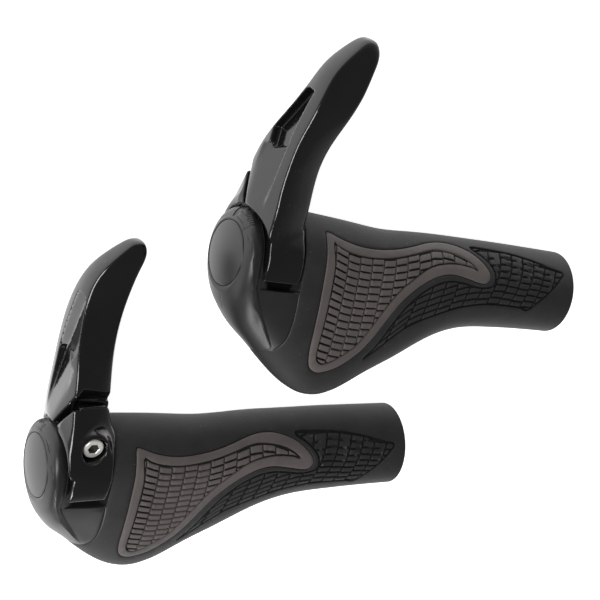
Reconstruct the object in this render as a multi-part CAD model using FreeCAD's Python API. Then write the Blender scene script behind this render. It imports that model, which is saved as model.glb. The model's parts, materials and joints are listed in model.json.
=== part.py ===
import FreeCAD, Part
import math
import os

from FreeCAD import Placement, Rotation, Vector

# A pair of bicycle handlebar grips with palm wings and clamp-on bar ends, lying side by side on a table.
# Each grip is built in its own frame, in millimetres: X along the bar from the outer end inboard, Y away
# from the palm wing, Z towards the side that the clamp bolt is on. The left grip is the right one mirrored.

# --- handlebar and core -------------------------------------------------------------------------------
BAR_R = 11.1            # a standard 22.2 mm handlebar
BORE_R = BAR_R + 0.10
CORE_R = 13.5
CORE_FRONT = 6.2
CORE_END = 159.0
GRIP_LENGTH = 160.0
CORE_SLOT = 2.0         # width of the four slots that let the core close under the clamp
CORE_SLOT_END = 27.0

# --- outer end housing --------------------------------------------------------------------------------
FLANGE_BACK = 7.4       # back face of the flange, and outboard wall of the clamp window
WINDOW_BACK = 26.6      # inboard wall of the clamp window, where the rubber starts
WINDOW_SILL = -11.5     # the window's lower edge on both sides
PANEL_CORNER = -15.0    # where the panel's inboard edge starts to bulge
PANEL_TIP = (23.9, -35.0)
PANEL_EDGE = (27.0, -28.0)
TAIL_END = (18.5, -37.0)
BAND_ROOM_R = 16.2      # the hidden groove that the clamp's thin band turns in

# --- end plug -----------------------------------------------------------------------------------------
PLUG_R = 12.9
PLUG_SEAT = 3.0
DOME_R = 60.0
DOME_RISE = 0.6
LEG_WALL = 1.3          # four springy legs that hold the cap in the housing
LEG_END = 5.8
LEG_GAP = 3.0

# --- horn clamp ---------------------------------------------------------------------------------------
CLAMP_FRONT = 9.0
CLAMP_BACK = 25.0
CLAMP_R = 18.9
CLAMP_BORE_R = CORE_R + 0.04
BAND_R = 15.7
JAW_END_BOLT_SIDE = 107.0   # degrees round the bar from +Y
JAW_END_SOLID_SIDE = 112.0
SLIT_NEAR = 1.6             # the slit runs up at this Z, inboard of its slanted front end
SLIT_WIDTH = 2.2
SLIT_FOOT = 5.0
SLIT_FRONT = 10.0
# the slanted front end of the slit, (Y, Z), and the gap above the jaw, (X, Y), with its slanted back, (Y, Z)
FRONT_SLOT = ((14.0, -3.7), (36.8, 5.9), (34.0, 8.7), (14.0, -1.7))
JAW_GAP = ((6.5, 32.9), (45.0, 27.9), (45.0, 28.2), (11.0, 39.4), (9.1, 36.8), (6.5, 34.6))
GAP_BACK = ((20.0, -4.3), (45.0, 6.9))
FLANGE_GAP_R = 19.7         # the horn's foot arches over the flange at this radius

# --- clamp bolt, M5 socket head -----------------------------------------------------------------------
BOLT_R = 2.5
BOLT_X = (CLAMP_FRONT + CLAMP_BACK) / 2
BOLT_Y = CORE_R + BOLT_R + 0.8
HEAD_R = 4.25
HEAD_LENGTH = 5.0
HEAD_SEAT = 8.6
HEX_ACROSS = 4.0
HEX_DEPTH = 2.6
BOLT_LENGTH = 20.0
HEAD_ROOM_R = 5.1
INSERT_R = 3.1
INSERT_LENGTH = 8.0

# --- horn arm -----------------------------------------------------------------------------------------
HORN_LEAN = 11.0        # degrees that the arm leans away from the bolt side
# height from the bar axis, outboard edge, inboard edge, outboard and inboard half widths, shift away from the
# bolt side, outboard bulge
ARM = (
    (6.0, 8.2, 25.0, 17.0, 12.0, -0.5, 3.6),
    (17.0, 8.0, 25.0, 16.0, 11.0, 0.0, 4.4),
    (24.0, 8.0, 24.9, 15.6, 10.4, 0.3, 4.4),
    (31.0, 8.0, 24.8, 14.4, 9.4, 0.6, 3.6),
    (40.0, 8.4, 24.8, 13.2, 8.4, 1.2, 2.6),
    (50.0, 9.2, 25.7, 11.2, 7.6, 3.2, 1.8),
    (62.0, 11.4, 28.6, 8.8, 6.8, 6.4, 1.4),
    (72.0, 14.0, 31.6, 6.9, 6.1, 7.4, 1.2),
    (82.0, 18.9, 34.4, 5.5, 5.3, 6.2, 1.0),
    (89.0, 25.4, 35.7, 4.2, 4.2, 4.8, 0.6),
    (93.0, 29.5, 34.6, 3.0, 3.0, 4.0, 0.2),
)
RIDGE = (0.52, 0.9)     # how far inboard the ridge on each broad face is, and how far it stands out
# the pocket in the arm's front face: height, bolt-side wall and floor; then its wall on the solid side
POCKET = ((43.0, 3.5, 10.5), (54.0, 5.2, 13.4), (69.0, 0.3, 17.0))
POCKET_WALL = -6.8
# the scoop that leads down out of the pocket: its corners, (height, Z), and its floor's X at the first one
# with the floor's slopes along both
SCOOP = ((28.5, -6.8), (46.0, -6.8), (46.0, 6.5), (33.0, 6.5))
SCOOP_FLOOR = (5.8, 0.244, -0.133)

# --- rubber body: distance from the outer end, top radius, half thickness, wing depth -----------------
BODY = (
    (7.4, 19.0, 16.5, 26.0),
    (18.0, 19.5, 16.1, 35.5),
    (27.0, 20.0, 16.6, 43.0),
    (37.0, 19.5, 16.9, 49.4),
    (48.0, 18.7, 16.8, 52.3),
    (58.0, 17.8, 16.5, 49.8),
    (70.0, 16.9, 16.2, 42.5),
    (83.0, 17.3, 16.3, 34.8),
    (97.0, 17.7, 16.7, 25.8),
    (110.0, 17.7, 17.0, 20.3),
    (128.0, 17.6, 17.2, 17.9),
    (145.0, 17.3, 17.1, 17.2),
    (GRIP_LENGTH, 17.0, 17.0, 17.0),
)
# --- flange and its tail down the wing's front edge ---------------------------------------------------
FRONT = (
    (0.8, 13.6, 13.6, 14.8),
    (2.2, 16.4, 16.4, 18.8),
    (4.4, 18.1, 18.1, 22.6),
    (7.4, 19.0, 19.0, 26.4),
    (14.0, 19.0, 17.9, 32.2),
    (25.0, 19.0, 17.2, 41.2),
)
INLAY_DEPTH = 1.3
# corners and mid-edge points of the grey inlay, seen square on to the wing
INLAY_FRONT_EDGE = ((36.4, 13.4), (36.5, -12.0), (37.6, -33.0), (43.4, -42.0))
INLAY_LOWER_EDGE = ((43.4, -42.0), (54.0, -38.4), (66.0, -25.4), (78.0, -7.0), (92.0, 2.4), (104.0, 2.4),
                    (115.2, 2.2))
INLAY_UPPER_EDGE = ((115.2, 2.2), (112.0, 9.9), (100.0, 14.9), (86.0, 14.2), (70.0, 10.4), (52.0, 9.9),
                    (36.4, 13.4))

SUPPORT_HALF = 2.4      # the stiff plate inside the wing
SUPPORT_MARGIN = 9.0
SUPPORT_SPAN = (30.0, 92.0)

# --- how each grip lies on the table: turned, pitched and rolled, with its outer end's place ----------
POSES = {
    "right": {"turn": (0.0, 2.54, -1.33), "place": (-93.05, -79.0, 22.13), "horn": 3.5, "mirrored": False},
    "left": {"turn": (-7.83, 2.65, -23.13), "place": (-33.28, 17.5, 20.26), "horn": -3.5, "mirrored": True},
}
SECTION_POINTS = 24
MARGIN = 5.0            # how far cutting shapes start outboard of the grip
OUTER = 60.0            # a reach past every piece but the horn, for cutting shapes
FAR = 200.0
PRESS = 0.05            # radial clearances: pressed in, turning, and through holes
TURNING = 0.6
THROUGH = 0.25


def cylinder(radius, start, end):
    """A cylinder round the bar axis."""
    return Part.makeCylinder(radius, end - start, Vector(start, 0, 0), Vector(1, 0, 0))


def slab(x0, x1, y0, y1, z0, z1):
    """A box from its low and high corners."""
    return Part.makeBox(x1 - x0, y1 - y0, z1 - z0, Vector(x0, y0, z0))


def side_prism(outline, z0, z1):
    """A flat outline, seen along Z, pushed from z0 to z1."""
    points = [Vector(x, y, z0) for x, y in outline]
    face = Part.Face(Part.makePolygon(points + points[:1]))
    return face.extrude(Vector(0, 0, z1 - z0))


def section(x, top, half, depth, shrink=0.0):
    """One cross-section: a half circle on top, and a half ellipse down to the wing's edge."""
    points = []
    for i in range(SECTION_POINTS):
        angle = 2 * math.pi * i / SECTION_POINTS
        reach = top if math.cos(angle) > 0 else depth
        points.append(Vector(x, (reach - shrink) * math.cos(angle), (half - shrink) * math.sin(angle)))
    curve = Part.BSplineCurve()
    curve.interpolate(Points=points, PeriodicFlag=True)
    return Part.Wire(curve.toShape())


def loft(stations, shrink=0.0):
    return Part.makeLoft([section(*station, shrink) for station in stations], True, False)


def core_tube():
    tube = cylinder(CORE_R, CORE_FRONT, CORE_END).cut(cylinder(BORE_R, 0, GRIP_LENGTH))
    slot = slab(0, CORE_SLOT_END, BORE_R - 2, CORE_R + 1, -CORE_SLOT / 2, CORE_SLOT / 2)
    for quarter in range(4):
        turned = slot.copy()
        turned.rotate(Vector(0, 0, 0), Vector(1, 0, 0), 45 + 90 * quarter)
        tube = tube.cut(turned)
    return tube


def flange_region():
    """The flange and tail, seen square on: everything outboard of the window and the smooth panel."""
    outline = [(-MARGIN, OUTER), (FLANGE_BACK, OUTER), (FLANGE_BACK, WINDOW_SILL), PANEL_TIP, TAIL_END,
               (-MARGIN, -OUTER)]
    return side_prism(outline, -OUTER, OUTER)


def panel_region():
    """The smooth panel below the window, out to where the rubber starts."""
    outline = [(FLANGE_BACK, OUTER), (WINDOW_BACK, OUTER), (WINDOW_BACK, PANEL_CORNER), PANEL_EDGE, PANEL_TIP,
               TAIL_END, (FLANGE_BACK, -OUTER)]
    return side_prism(outline, -OUTER, OUTER)


def end_housing():
    flange = loft(FRONT).common(flange_region())
    panel = loft(BODY).common(panel_region())
    window = slab(FLANGE_BACK, WINDOW_BACK, WINDOW_SILL, OUTER, -OUTER, OUTER)
    shell = flange.fuse(panel.cut(window)).removeSplitter()
    shell = shell.cut(cylinder(CORE_R, CORE_FRONT, GRIP_LENGTH))
    shell = shell.cut(cylinder(BAND_ROOM_R, CLAMP_FRONT - TURNING, CLAMP_BACK + TURNING))
    return shell.cut(cylinder(PLUG_R, -MARGIN, CORE_FRONT))


def end_plug():
    """A domed cap with four short springy legs that hold it in the housing."""
    dome = Part.makeSphere(DOME_R, Vector(DOME_R - DOME_RISE, 0, 0))
    radius = PLUG_R - PRESS
    cap = dome.common(cylinder(radius, -MARGIN, PLUG_SEAT))
    legs = cylinder(radius, PLUG_SEAT, LEG_END).cut(cylinder(radius - LEG_WALL, PLUG_SEAT, LEG_END))
    for turn in (0, 90):
        gap = slab(PLUG_SEAT, LEG_END, -PLUG_R, PLUG_R, -LEG_GAP / 2, LEG_GAP / 2)
        gap.rotate(Vector(0, 0, 0), Vector(1, 0, 0), turn)
        legs = legs.cut(gap)
    return cap.fuse(legs).removeSplitter()


def inlay_outline():
    edges = []
    for points in (INLAY_FRONT_EDGE, INLAY_LOWER_EDGE, INLAY_UPPER_EDGE):
        curve = Part.BSplineCurve()
        curve.interpolate([Vector(x, y, 0) for x, y in points])
        edges.append(curve.toShape())
    return Part.Face(Part.Wire(edges))


def inlay(side):
    """The grey inlay on one side of the wing; side is +1 towards the bolt, -1 away from it."""
    reach = inlay_outline().extrude(Vector(0, 0, OUTER * side))
    return loft(BODY).common(reach).cut(loft(BODY, INLAY_DEPTH))


def palm_support():
    """The stiff plate moulded inside the wing."""
    first, last = SUPPORT_SPAN
    rim = [(x, SUPPORT_MARGIN - depth) for x, _, _, depth in BODY if first < x < last]
    root = -CORE_R - 0.5
    outline = [(first, root), (first, rim[0][1] + 3)] + rim + [(last, root)]
    return side_prism(outline, -SUPPORT_HALF, SUPPORT_HALF)


def grip_sleeve(inlays, support):
    solid = loft(BODY)
    solid = solid.cut(flange_region()).cut(panel_region())
    solid = solid.cut(slab(-MARGIN, WINDOW_BACK, PANEL_CORNER, OUTER, -OUTER, OUTER))
    solid = solid.cut(cylinder(CORE_R, 0, FAR))
    for piece in inlays + [support]:
        solid = solid.cut(piece)
    return max(solid.Solids, key=lambda s: s.Volume)


def arm_section(height, outboard, inboard, outer_half, inner_half, shift, bulge):
    """A seven-sided section across the arm, in a plane square to its length."""
    place, rise = RIDGE
    ridge = outboard + place * (inboard - outboard)
    ridge_half = outer_half + place * (inner_half - outer_half) + rise
    corners = [
        (outboard - bulge, 0),
        (outboard, outer_half),
        (ridge, ridge_half),
        (inboard, inner_half),
        (inboard, -inner_half),
        (ridge, -ridge_half),
        (outboard, -outer_half),
    ]
    points = [Vector(x, height, z - shift) for x, z in corners]
    return Part.makePolygon(points + points[:1])


def pocket():
    """The hollow in the arm's front face."""
    low, high = POCKET[0][0], POCKET[-1][0]
    mouth = [Vector(-MARGIN, low, POCKET_WALL)]
    mouth += [Vector(-MARGIN, height, bolt_wall) for height, bolt_wall, _ in POCKET]
    mouth.append(Vector(-MARGIN, high, POCKET_WALL))
    shaft = Part.Face(Part.makePolygon(mouth + mouth[:1])).extrude(Vector(OUTER, 0, 0))
    side = [(-MARGIN, low)] + [(floor, height) for height, _, floor in POCKET] + [(-MARGIN, high)]
    return shaft.common(side_prism(side, -OUTER, OUTER))


def scoop():
    """The shallow scoop below the pocket."""
    start, along, across = SCOOP_FLOOR
    first_height, first_z = SCOOP[0]
    floor = [Vector(start + along * (height - first_height) + across * (z - first_z), height, z)
             for height, z in SCOOP]
    return Part.Face(Part.makePolygon(floor + floor[:1])).extrude(Vector(-OUTER, 0, 0))


def length_prism(outline, x0, x1):
    """A (Y, Z) outline pushed along X from x0 to x1."""
    points = [Vector(x0, y, z) for y, z in outline]
    return Part.Face(Part.makePolygon(points + points[:1])).extrude(Vector(x1 - x0, 0, 0))


def jaw_gap():
    """The open gap between the jaw and the arm's broad face."""
    back = list(GAP_BACK) + [(GAP_BACK[1][0], OUTER), (GAP_BACK[0][0], OUTER)]
    return side_prism(JAW_GAP, -OUTER, OUTER).common(length_prism(back, -MARGIN, OUTER))


def arm():
    solid = Part.makeLoft([arm_section(*station) for station in ARM], True, False)
    solid = solid.cut(pocket()).cut(scoop())
    solid.rotate(Vector(0, 0, 0), Vector(1, 0, 0), -HORN_LEAN)
    return solid


def jaw_relief():
    """What is taken off the clamp below its two jaws, leaving a thin band."""
    angles = [JAW_END_BOLT_SIDE, 140, 180, 220, 360 - JAW_END_SOLID_SIDE]
    rim = [Vector(0, OUTER * math.cos(math.radians(a)), OUTER * math.sin(math.radians(a))) for a in angles]
    wedge = Part.Face(Part.makePolygon([Vector(0, 0, 0)] + rim + [Vector(0, 0, 0)]))
    return wedge.extrude(Vector(OUTER, 0, 0)).cut(cylinder(BAND_R, -MARGIN, OUTER + MARGIN))


def slit():
    """The cut that lets the jaw close: up beside the bolt, slanted at its front end."""
    gap = jaw_gap()
    upright = slab(SLIT_FRONT, OUTER, SLIT_FOOT, JAW_GAP[0][1], SLIT_NEAR, SLIT_NEAR + SLIT_WIDTH)
    return upright.fuse(length_prism(FRONT_SLOT, -MARGIN, SLIT_FRONT + 0.5)).fuse(gap)


def bolt_hole(radius, start, end):
    return Part.makeCylinder(radius, end - start, Vector(BOLT_X, BOLT_Y, start), Vector(0, 0, 1))


def horn():
    solid = cylinder(CLAMP_R, CLAMP_FRONT, CLAMP_BACK).fuse(arm()).removeSplitter()
    solid = solid.cut(cylinder(CLAMP_BORE_R, -MARGIN, OUTER))
    solid = solid.cut(cylinder(FLANGE_GAP_R, -MARGIN, CLAMP_FRONT))
    solid = solid.cut(jaw_relief())
    solid = solid.cut(slit())
    solid = solid.cut(bolt_hole(HEAD_ROOM_R, HEAD_SEAT, OUTER))
    solid = solid.cut(bolt_hole(BOLT_R + THROUGH, SLIT_NEAR, HEAD_SEAT))
    solid = solid.cut(bolt_hole(BOLT_R + PRESS, HEAD_SEAT - BOLT_LENGTH - TURNING, SLIT_NEAR))
    solid = solid.cut(bolt_hole(INSERT_R, SLIT_NEAR - INSERT_LENGTH, SLIT_NEAR))
    return max(solid.Solids, key=lambda s: s.Volume)


def thread_insert():
    return bolt_hole(INSERT_R, SLIT_NEAR - INSERT_LENGTH, SLIT_NEAR).cut(
        bolt_hole(BOLT_R + PRESS, SLIT_NEAR - INSERT_LENGTH, SLIT_NEAR))


def clamp_bolt():
    head = bolt_hole(HEAD_R, HEAD_SEAT, HEAD_SEAT + HEAD_LENGTH)
    shank = bolt_hole(BOLT_R, HEAD_SEAT - BOLT_LENGTH, HEAD_SEAT)
    corner = HEX_ACROSS / math.sqrt(3)
    floor = HEAD_SEAT + HEAD_LENGTH - HEX_DEPTH
    turns = [math.radians(a) for a in range(0, 361, 60)]
    rim = [Vector(BOLT_X + corner * math.cos(a), BOLT_Y + corner * math.sin(a), floor) for a in turns]
    socket = Part.Face(Part.makePolygon(rim)).extrude(Vector(0, 0, HEX_DEPTH))
    return head.fuse(shank).removeSplitter().cut(socket)


def grip_parts(horn_turn):
    """Every piece of one grip in its own frame, with the horn turned on its clamp by horn_turn degrees."""
    inlays = [inlay(1), inlay(-1)]
    support = palm_support()
    parts = {
        "end_housing": end_housing(),
        "core_tube": core_tube(),
        "palm_support": support,
        "grip_sleeve": grip_sleeve(inlays, support),
        "inlay_bolt_side": inlays[0],
        "inlay_plain_side": inlays[1],
        "end_plug": end_plug(),
    }
    clamp = {"horn": horn(), "thread_insert": thread_insert(), "clamp_bolt": clamp_bolt()}
    for name, solid in clamp.items():
        solid.rotate(Vector(0, 0, 0), Vector(1, 0, 0), horn_turn)
        parts[name] = solid
    return parts


def placed(solid, pose):
    if pose["mirrored"]:
        solid = solid.mirror(Vector(0, 0, 0), Vector(0, 0, 1))
    solid.Placement = Placement(Vector(*pose["place"]), Rotation(*pose["turn"])).multiply(solid.Placement)
    return solid


def build():
    nodes = {}
    for hand, pose in POSES.items():
        for name, solid in grip_parts(pose["horn"]).items():
            nodes[hand + "_" + name] = placed(solid, pose)
    box = Part.makeCompound(list(nodes.values())).optimalBoundingBox()
    shift = Vector(-box.Center.x, -box.Center.y, -box.ZMin)
    for solid in nodes.values():
        solid.translate(shift)
    print("shift to the origin", tuple(round(c, 3) for c in shift))
    print("size", round(box.XLength, 2), round(box.YLength, 2), round(box.ZLength, 2))
    return nodes


os.makedirs("parts", exist_ok=True)
for node, solid in build().items():
    print(node, len(solid.Solids), solid.isValid(), round(solid.Volume))
    solid.exportStep(os.path.join("parts", node + ".step"))
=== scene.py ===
"""A pair of handlebar grips with clamp-on bar ends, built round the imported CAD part.

Every length is in millimetres in a grip's own frame until it's placed. There u runs along the bar from the
outer end inboard, v points away from the palm wing, and w points to the clamp bolt's side. The left grip is
the right one mirrored in w.
"""
import json
import math

import bmesh
import bpy
import numpy as np
from mathutils import Matrix, Vector
from mathutils.geometry import delaunay_2d_cdt

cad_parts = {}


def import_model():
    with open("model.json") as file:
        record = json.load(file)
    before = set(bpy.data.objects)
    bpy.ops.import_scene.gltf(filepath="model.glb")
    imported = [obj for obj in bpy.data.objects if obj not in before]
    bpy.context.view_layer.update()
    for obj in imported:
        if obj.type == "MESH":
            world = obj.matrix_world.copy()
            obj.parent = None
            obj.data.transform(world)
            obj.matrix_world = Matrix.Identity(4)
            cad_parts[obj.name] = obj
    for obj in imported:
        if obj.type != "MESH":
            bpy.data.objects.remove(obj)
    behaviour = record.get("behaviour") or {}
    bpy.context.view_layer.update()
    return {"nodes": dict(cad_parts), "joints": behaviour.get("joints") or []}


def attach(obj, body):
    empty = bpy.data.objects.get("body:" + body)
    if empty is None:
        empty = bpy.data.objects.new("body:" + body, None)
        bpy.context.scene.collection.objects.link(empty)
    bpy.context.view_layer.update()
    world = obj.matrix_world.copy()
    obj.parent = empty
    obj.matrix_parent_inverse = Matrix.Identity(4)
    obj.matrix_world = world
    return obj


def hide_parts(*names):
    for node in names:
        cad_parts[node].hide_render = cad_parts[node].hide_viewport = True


# --- how each grip lies: its yaw, pitch and roll, its horn's turn on the bar, and its bolt's side ---
POSES = {
    "right": {"turn": (0.0, 2.54, -1.33), "horn": 3.5, "side": 1},
    "left": {"turn": (-7.83, 2.65, -23.13), "horn": -3.5, "side": -1},
}
HINGE_U = 17.0
MM = 0.001

# --- studio: metres, but the camera's place is in millimetres from the right grip's horn hinge ---
CAMERA_FROM_HINGE = (-272.57, 457.62, 617.43)
CAMERA_AIM = (0.4369, -0.4733, -0.7650)
CAMERA_UP = (-0.0004, 0.8503, -0.5264)
LENS = 122.4
# each lamp's name, place, width and height, and power
LAMPS = (
    ("key", (-0.80, 0.25, 0.85), (0.5, 0.5), 9.0),
    ("front", (-0.25, -0.95, 0.75), (0.6, 0.3), 6.0),
)
LAMP_AIM = (0, 0, 0.02)
# the light tent's colour near the floor and overhead, with how steeply up each is seen
TENT_LOW = (0.12, (0.55, 0.55, 0.55, 1.0))
TENT_HIGH = (0.50, (0.17, 0.168, 0.172, 1.0))
FLOOR_SIZE = 12.0
FLOOR_GLOW = 0.90
DUST = (0.16, 0.155, 0.15, 1.0)

# --- rubber body, and the flange in front of it: u, top radius, half thickness, wing depth ---
BODY = (
    (7.4, 19.0, 16.5, 26.0),
    (18.0, 19.5, 16.1, 35.5),
    (27.0, 20.0, 16.6, 43.0),
    (37.0, 19.5, 16.9, 49.4),
    (48.0, 18.7, 16.8, 52.3),
    (58.0, 17.8, 16.5, 49.8),
    (70.0, 16.9, 16.2, 42.5),
    (83.0, 17.3, 16.3, 34.8),
    (97.0, 17.7, 16.7, 25.8),
    (110.0, 17.7, 17.0, 20.3),
    (128.0, 17.6, 17.2, 17.9),
    (145.0, 17.3, 17.1, 17.2),
    (160.0, 17.0, 17.0, 17.0),
)
FRONT = (
    (0.8, 13.6, 13.6, 14.8),
    (2.2, 16.4, 16.4, 18.8),
    (4.4, 18.1, 18.1, 22.6),
    (7.4, 19.0, 19.0, 26.4),
    (14.0, 19.0, 17.9, 32.2),
    (25.0, 19.0, 17.2, 41.2),
)
# the crease between the flange's round rim and the facet behind it, running down into the tail
FACET_EDGE = ((1.5, 15.0), (1.7, 9.0), (2.8, 0.0), (4.2, -6.0), (6.2, -12.0), (9.0, -18.0), (21.5, -33.0))
FACET_CREASE = 0.15     # half width of the crease's bend
FACET_MOST = 3.0        # the most that the facet drops below the flange's round skin
# the angle scale, cut into the flange's rim on the plain side only: its first mark's angle from the top and
# the step between marks, in degrees, and the marks' reach in u
SCALE_START = 5.0
SCALE_STEP = 3.6
SCALE_TICKS = 12
SCALE_SHORT = (2.9, 4.3)
SCALE_LONG = (1.3, 4.3)
SCALE_HALF = 0.12
SCALE_DEPTH = 0.3
FLANGE_FRONT = 0.8
FLANGE_BACK = 7.4
FLANGE_GUIDES = (1.0, 1.3, 1.7, 2.2, 3.0, 4.0)
# the clamp window, and the seam from it to the wing's front edge
WINDOW_BACK = 26.6
WINDOW_SILL = -11.5
BODY_TOP = 20.2         # just above each skin's top at the window's two edges
FLANGE_TOP = 19.2
SEAM = ((26.6, -11.5), (27.1, -20.0), (27.0, -27.5), (26.0, -31.8), (23.9, -35.0))
TAIL_U = 18.9           # where the tail ends on the wing's front edge
SLEEVE_END = 159.3
END_ROUND = 0.7
CORE_R = 13.5
# guide lines beside each part's rim; the last distance is also the rim's rounding
RUBBER_RIM = (0.12, 0.35, 0.7)
PANEL_RIM = (0.1, 0.25, 0.5)
FLANGE_RIM = (0.1, 0.25, 0.45)
# how deep the walls go down from the open edges, and the gaps to what is inside
SLEEVE_WALL = 2.4
PANEL_LAP = 5.0         # the panel's upper edge goes down past the clamp ring
PANEL_WALL = 2.4
FLANGE_WALL = 2.6
WING_MIDDLE = 0.82      # in the wing the walls aim at this share of their own depth below the bar
DEEPEST = 0.8           # and they stop at this share of the way
CORE_GAP = 0.05
PLUG_GAP = 0.18

# --- outlines on the side of the grip, (u, v) ---
INLAY = (
    (36.3, 12.4), (36.3, 0.0), (36.5, -12.0), (36.9, -24.0), (37.6, -33.0), (39.6, -39.4), (43.4, -42.0),
    (48.0, -41.3), (54.0, -38.4), (61.0, -32.4), (66.0, -25.4), (70.2, -17.8), (74.6, -10.8), (80.0, -5.0),
    (86.0, -0.4), (92.0, 2.4), (98.0, 3.2), (105.0, 2.2), (111.0, 1.1), (114.2, 1.5), (115.8, 3.6),
    (115.2, 6.4), (112.0, 9.9), (107.0, 13.0), (100.0, 14.9), (93.0, 15.2), (86.0, 14.2), (78.0, 12.1),
    (70.0, 10.4), (60.0, 9.5), (52.0, 9.9), (45.0, 11.3), (39.0, 13.3), (37.0, 13.6),
)
# the grey pads' upper edge, which their rows follow
GREY_EDGE = (
    (46.7, 7.1), (52.2, 6.1), (57.8, 5.8), (63.3, 6.1), (68.9, 6.8), (74.4, 8.0), (80.0, 9.5), (86.7, 11.4),
    (92.2, 12.0), (100.0, 11.1),
)
GREY_TOP = ((39.0, 9.9), (43.0, 8.3)) + GREY_EDGE + ((112.0, 6.0),)
GREY_PADS = (
    (39.9, 9.5), (40.7, 0.0), (40.8, -12.0), (40.9, -24.0), (41.2, -33.0), (42.6, -37.0), (45.3, -38.2),
    (48.6, -37.0), (53.4, -33.8), (58.3, -29.7), (62.2, -23.9), (65.7, -17.6), (69.2, -11.5), (73.4, -5.6),
    (78.6, -0.6), (84.0, 3.8), (89.0, 6.2), (94.4, 7.4), (100.0, 7.8), (106.4, 7.2), (109.6, 6.2),
    (105.6, 9.2),
) + GREY_EDGE[::-1] + ((42.8, 8.4),)
# the black pads' lower edge, which their rows follow
BLACK_EDGE = (
    (64.7, -34.8), (70.6, -29.6), (75.6, -24.6), (81.0, -20.0), (86.7, -16.8), (93.3, -13.8), (101.0, -10.7),
    (107.8, -8.6), (114.4, -7.3), (120.0, -6.8), (127.0, -6.7),
)
BLACK_BASE = ((60.0, -40.0),) + BLACK_EDGE + ((134.0, -6.7), (160.0, -6.7))
BLACK_PADS = (
    (108.2, 14.6), (112.5, 12.0), (116.0, 9.2), (118.0, 6.4), (118.5, 3.2), (117.0, 0.4), (111.0, -0.7),
    (104.4, 0.2), (98.0, 0.6), (92.2, -0.5), (87.6, -2.9), (83.2, -6.2), (78.9, -10.8), (75.6, -15.6),
    (73.1, -20.0), (70.5, -25.6), (67.8, -30.4),
) + BLACK_EDGE + (
    (134.0, -6.9), (138.4, -7.6), (142.2, -3.9), (147.8, 1.7), (152.6, 6.8), (154.2, 9.2), (148.9, 10.4),
    (140.0, 12.5), (128.9, 14.1), (117.8, 14.7),
)
# the pads: spacing of the columns and rows, where the columns are counted from, and how uneven the rows are
GREY_PITCH = (5.76, 2.9)
GREY_FIRST_U = 40.8
GREY_UNEVEN = 0.14
GREY_LEVEL = 6.0        # rows spread where the upper edge is above this
GREY_SPREAD = 28.0
BLACK_PITCH = (5.7, 2.7)
BLACK_FIRST_U = 111.0
BLACK_UNEVEN = 0.12
BLACK_LEVEL = -6.0      # the columns' places are counted on this line, and they lean from it
BLACK_LEAN = ((70.0, 100.0, 112.0, 150.0), (0.20, 0.12, 0.30, 0.36))
BLACK_TAPER = (125.0, 0.012)    # the rows draw together past this u, by this much a millimetre
ROWS = range(-2, 22)    # more rows than the longest column has
SLANT = 0.97            # the grooves' slant narrows the true distance to them
GROOVE = 0.40           # half width of the grooves between pads
GROOVE_DEPTH = 0.95
GROOVE_WALL = 0.13
PAD_ROUND = 0.16
PAD_DROP = 0.10
GROOVE_GUIDES = (GROOVE - GROOVE_WALL, GROOVE, GROOVE + PAD_ROUND)
SEAM_GROOVE = 0.16      # half width of the thin seam round the inlay
SEAM_ROUND = 0.3
SEAM_DEPTH = 0.45
SEAM_LIP = 0.16
INLAY_LIFT = 0.12
INLAY_RISE = 0.6        # how far inside its edge the inlay reaches its full lift
INLAY_WALL = 1.0

# --- horn: height from the bar axis, outboard edge, inboard edge, outboard and inboard half widths, shift
# away from the bolt side, outboard bulge
ARM = (
    (6.0, 8.2, 25.0, 17.0, 12.0, -0.5, 3.6),
    (17.0, 8.0, 25.0, 16.0, 11.0, 0.0, 4.4),
    (24.0, 8.0, 24.9, 15.6, 10.4, 0.3, 4.4),
    (31.0, 8.0, 24.8, 14.4, 9.4, 0.6, 3.6),
    (40.0, 8.4, 24.8, 13.2, 8.4, 1.2, 2.6),
    (50.0, 9.2, 25.7, 11.2, 7.6, 3.2, 1.8),
    (62.0, 11.4, 28.6, 8.8, 6.8, 6.4, 1.4),
    (72.0, 14.0, 31.6, 6.9, 6.1, 7.4, 1.2),
    (82.0, 18.9, 34.4, 5.5, 5.3, 6.2, 1.0),
    (89.0, 25.4, 35.7, 4.2, 4.2, 4.8, 0.6),
    (93.0, 29.5, 34.6, 3.0, 3.0, 4.0, 0.2),
)
RIDGE = (0.52, 0.9)     # how far inboard the ridge on each broad face is, and how far it stands out
ARM_ROUND = 0.70
ARM_SWELL = 0.2
TIP_ROUND = 0.9
HORN_LEAN = 11.0
HORN_BOX = ((1.0, -19.5, -37.0), (37.5, 94.5, 20.5))
ROOT_FILLET = ((1.0, 5.0), (0.8, 3.4))  # between the arm and the clamp ring: wider on the bolt side
CLAMP = (9.0, 25.0)
CLAMP_R = 18.9
CLAMP_BORE_R = 13.54
BAND_R = 15.7
JAW_END_BOLT_SIDE = 107.0
JAW_END_SOLID_SIDE = 112.0
JAW_END_V = -2.0        # the jaws' ends are below this
FLANGE_GAP_R = 19.7
# sloping faces of the cuts: a place, the value there, and the slope
JAW_TOP = (25.0, 30.5, -0.13)           # v over u
GAP_FRONT_BACK = (18.9, -1.6, 0.42)     # w over v, near the flange
GAP_SIDE_BACK = (32.3, 1.2, 0.45)       # w over v, on the arm's side
GAP_SIDE_SLOPE = (12.0, 0.0, -0.06)     # added to it over u
GAP_CEILINGS = ((11.0, 39.4, -0.33), (9.1, 36.8, 0.86))     # v over u
GAP_BEND = (9.5, 11.0)                  # the back face goes from one to the other between these u
FRONT_TOP = (19.0, 0.9, 0.52)           # w over v: the slit's wide front end
FRONT_END = (10.5, 37.0)                # its ends in u and v
SLIT = (1.6, 3.8)                       # the slit's sides in w
SLIT_FOOT = 5.0
SLIT_FRONT = 10.0
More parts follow.
